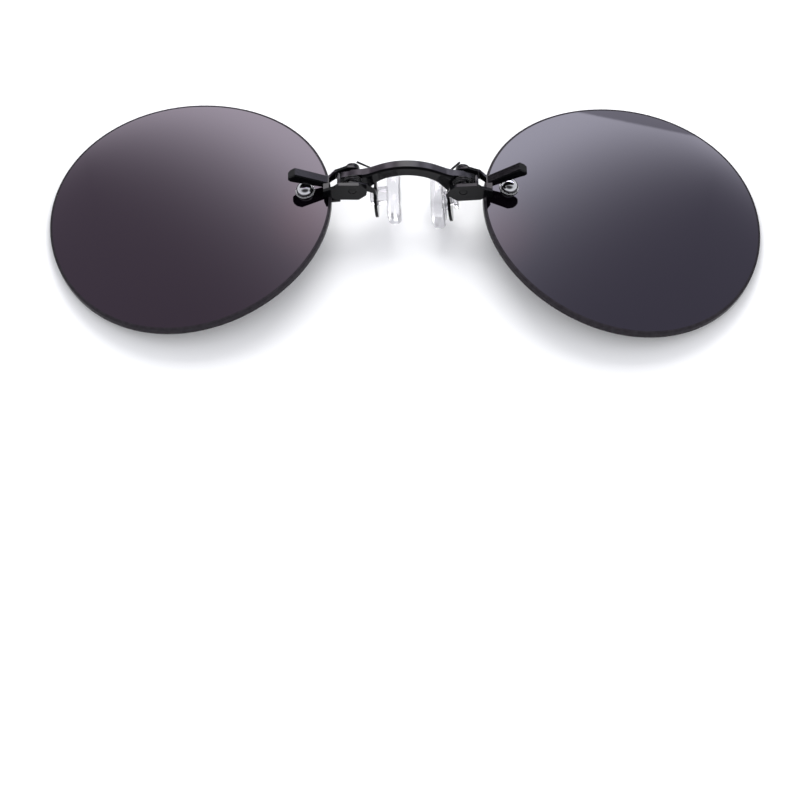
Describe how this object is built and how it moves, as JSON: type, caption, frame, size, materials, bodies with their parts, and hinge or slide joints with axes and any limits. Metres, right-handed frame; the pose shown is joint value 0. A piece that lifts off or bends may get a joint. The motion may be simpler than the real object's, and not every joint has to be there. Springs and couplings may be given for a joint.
{
  "type": "clip-on nose-clamp sunglasses",
  "caption": "Rimless round sunglasses held by an arched bridge with two sprung finger levers that clamp silicone pads on the nose.",
  "frame": {"origin": "on the surface the glasses lie on, under the middle of the bridge and lenses", "axes": "+X across the face, to the right as drawn; +Y towards the brow; +Z out of the lens fronts"},
  "size_m": [0.1172, 0.0466, 0.0122],
  "materials": {
    "black_frame": "gloss black plated metal",
    "spring_steel": "blackened spring wire",
    "tinted_lens": "polished dark grey tint",
    "polished_steel": "polished",
    "clear_plastic": "clear",
    "clear_silicone": "clear, soft, slightly frosted"
  },
  "bodies": {
    "frame": {"bridge": "black_frame", "left_lens": "tinted_lens", "left_front_washer": "clear_plastic", "left_rear_washer": "clear_plastic", "left_lens_bushing": "clear_plastic", "left_lens_screw": "black_frame", "left_dome_nut": "polished_steel", "left_lens_strap": "black_frame", "left_pivot_pin": "black_frame", "left_torsion_spring": "spring_steel", "right_lens": "tinted_lens", "right_front_washer": "clear_plastic", "right_rear_washer": "clear_plastic", "right_lens_bushing": "clear_plastic", "right_lens_screw": "black_frame", "right_dome_nut": "polished_steel", "right_lens_strap": "black_frame", "right_pivot_pin": "black_frame", "right_torsion_spring": "spring_steel"},
    "left_clamp": {"left_lever": "black_frame", "left_pad_arm": "black_frame", "left_nose_pad": "clear_silicone"},
    "right_clamp": {"right_lever": "black_frame", "right_pad_arm": "black_frame", "right_nose_pad": "clear_silicone"}
  },
  "joints": [
    {"name": "left_lever_pivot", "type": "hinge", "parent": "frame", "child": "left_clamp", "pos_m": [-0.009, 0.003, 0.00975], "axis": [0, 1, 0], "range_deg": [0, 28], "stiffness_Nm_per_rad": 0.02},
    {"name": "right_lever_pivot", "type": "hinge", "parent": "frame", "child": "right_clamp", "pos_m": [0.009, 0.003, 0.00975], "axis": [0, -1, 0], "range_deg": [-6, 22], "stiffness_Nm_per_rad": 0.02}
  ]
}
